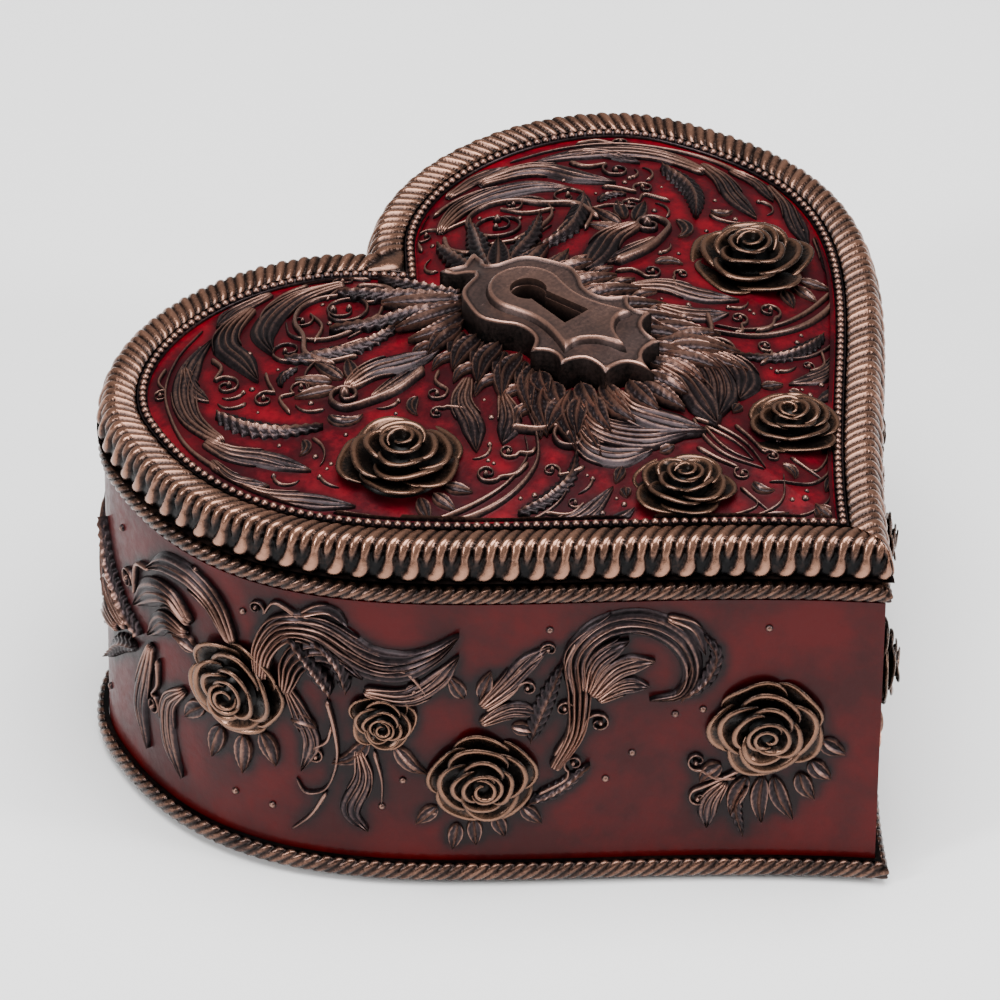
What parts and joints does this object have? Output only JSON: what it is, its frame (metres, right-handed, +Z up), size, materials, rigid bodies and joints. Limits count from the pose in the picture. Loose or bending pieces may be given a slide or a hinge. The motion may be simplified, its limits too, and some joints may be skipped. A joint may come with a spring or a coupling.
{
  "type": "wind-up music box",
  "caption": "Heart-shaped lidded music box with rope trims, applied roses and a keyhole plate, and a spring-driven comb movement wound from below.",
  "frame": {"origin": "middle of the footprint's bounding box, on the table", "axes": "+X to the object's right, across the two lobes; -Y towards the heart's tip; +Z up"},
  "size_m": [0.1744, 0.1596, 0.091],
  "materials": {
    "red_enamel": "translucent glossy red enamel over a dark cast ground, darker round the relief",
    "dark_bronze": "dark bronze casting with copper dry-brushed high edges and black recesses",
    "black_velvet": "short black velvet pile",
    "black_felt": "thin black felt",
    "base_board": "matt dark board",
    "steel": "bright machined steel",
    "spring_steel": "blued spring steel",
    "brass": "machined brass",
    "zinc_casting": "cast and tumbled",
    "white_plastic": "moulded",
    "clear_plastic": "clear moulded cover"
  },
  "bodies": {
    "box": {"box_shell": "red_enamel", "upper_rope_trim": "dark_bronze", "lower_rope_trim": "dark_bronze", "base_plate": "base_board", "base_felt": "black_felt", "velvet_liner": "black_velvet", "base_screw_1": "steel", "base_screw_2": "steel", "base_screw_3": "steel", "base_screw_4": "steel", "hinge_leaf_lower_left": "steel", "hinge_leaf_lower_right": "steel", "hinge_pin_left": "steel", "hinge_pin_right": "steel", "side_rose_left_1": "dark_bronze", "side_rose_left_2": "dark_bronze", "side_rose_left_3": "dark_bronze", "side_rose_left_4": "dark_bronze", "side_rose_right_1": "dark_bronze", "side_rose_right_2": "dark_bronze", "side_rose_right_3": "dark_bronze", "side_rose_right_4": "dark_bronze", "movement_bedplate": "zinc_casting", "spring_housing": "brass", "mainspring": "spring_steel", "comb": "spring_steel", "comb_screw_1": "steel", "comb_screw_2": "steel", "governor_frame": "zinc_casting", "movement_cover": "clear_plastic", "movement_screw_1": "steel", "movement_screw_2": "steel", "movement_screw_3": "steel"},
    "lid": {"lid_rim": "dark_bronze", "lid_panel": "red_enamel", "lid_bead_trim": "dark_bronze", "lid_lining": "black_velvet", "keyhole_plate": "dark_bronze", "lid_rose_left_1": "dark_bronze", "lid_rose_right_1": "dark_bronze", "lid_rose_left_2": "dark_bronze", "lid_rose_right_2": "dark_bronze", "hinge_leaf_upper_left": "steel", "hinge_leaf_upper_right": "steel"},
    "winding": {"winding_key": "brass", "winding_arbor": "steel", "great_wheel": "brass"},
    "cylinder_body": {"cylinder": "brass", "cylinder_arbor": "steel", "cylinder_pinion": "steel", "cylinder_gear": "brass"},
    "idler_body": {"idler_arbor": "steel", "idler_pinion": "steel", "worm_wheel": "brass"},
    "worm_body": {"governor_worm": "steel", "air_brake": "white_plastic"},
    "stop_body": {"stop_wire": "steel"}
  },
  "joints": [
    {"name": "lid_hinge", "type": "hinge", "parent": "box", "child": "lid", "pos_m": [0, 0.07819, 0.0705], "axis": [-1, 0, 0], "range_deg": [0, 100]},
    {"name": "winding_turn", "type": "hinge", "parent": "box", "child": "winding", "pos_m": [-0.008, 0.02048, 0], "axis": [0, 0, 1], "continuous": true},
    {"name": "cylinder_turn", "type": "hinge", "parent": "box", "child": "cylinder_body", "pos_m": [0.006, 0.02048, 0.03], "axis": [1, 0, 0], "continuous": true},
    {"name": "idler_turn", "type": "hinge", "parent": "box", "child": "idler_body", "pos_m": [0.006, 0.02848, 0.03], "axis": [1, 0, 0], "continuous": true},
    {"name": "worm_turn", "type": "hinge", "parent": "box", "child": "worm_body", "pos_m": [0.0308, 0.03518, 0.03], "axis": [0, 0, 1], "continuous": true},
    {"name": "stop_slide", "type": "slide", "parent": "box", "child": "stop_body", "axis": [0, 0, 1], "range_m": [0, 0.003]}
  ],
  "couplings": [
    {"joint": "cylinder_turn", "follows": "winding_turn", "ratio": -3.25},
    {"joint": "idler_turn", "follows": "winding_turn", "ratio": 9.75},
    {"joint": "worm_turn", "follows": "winding_turn", "ratio": -48.75},
    {"joint": "stop_slide", "follows": "lid_hinge", "m_per_rad": 0.0017}
  ]
}
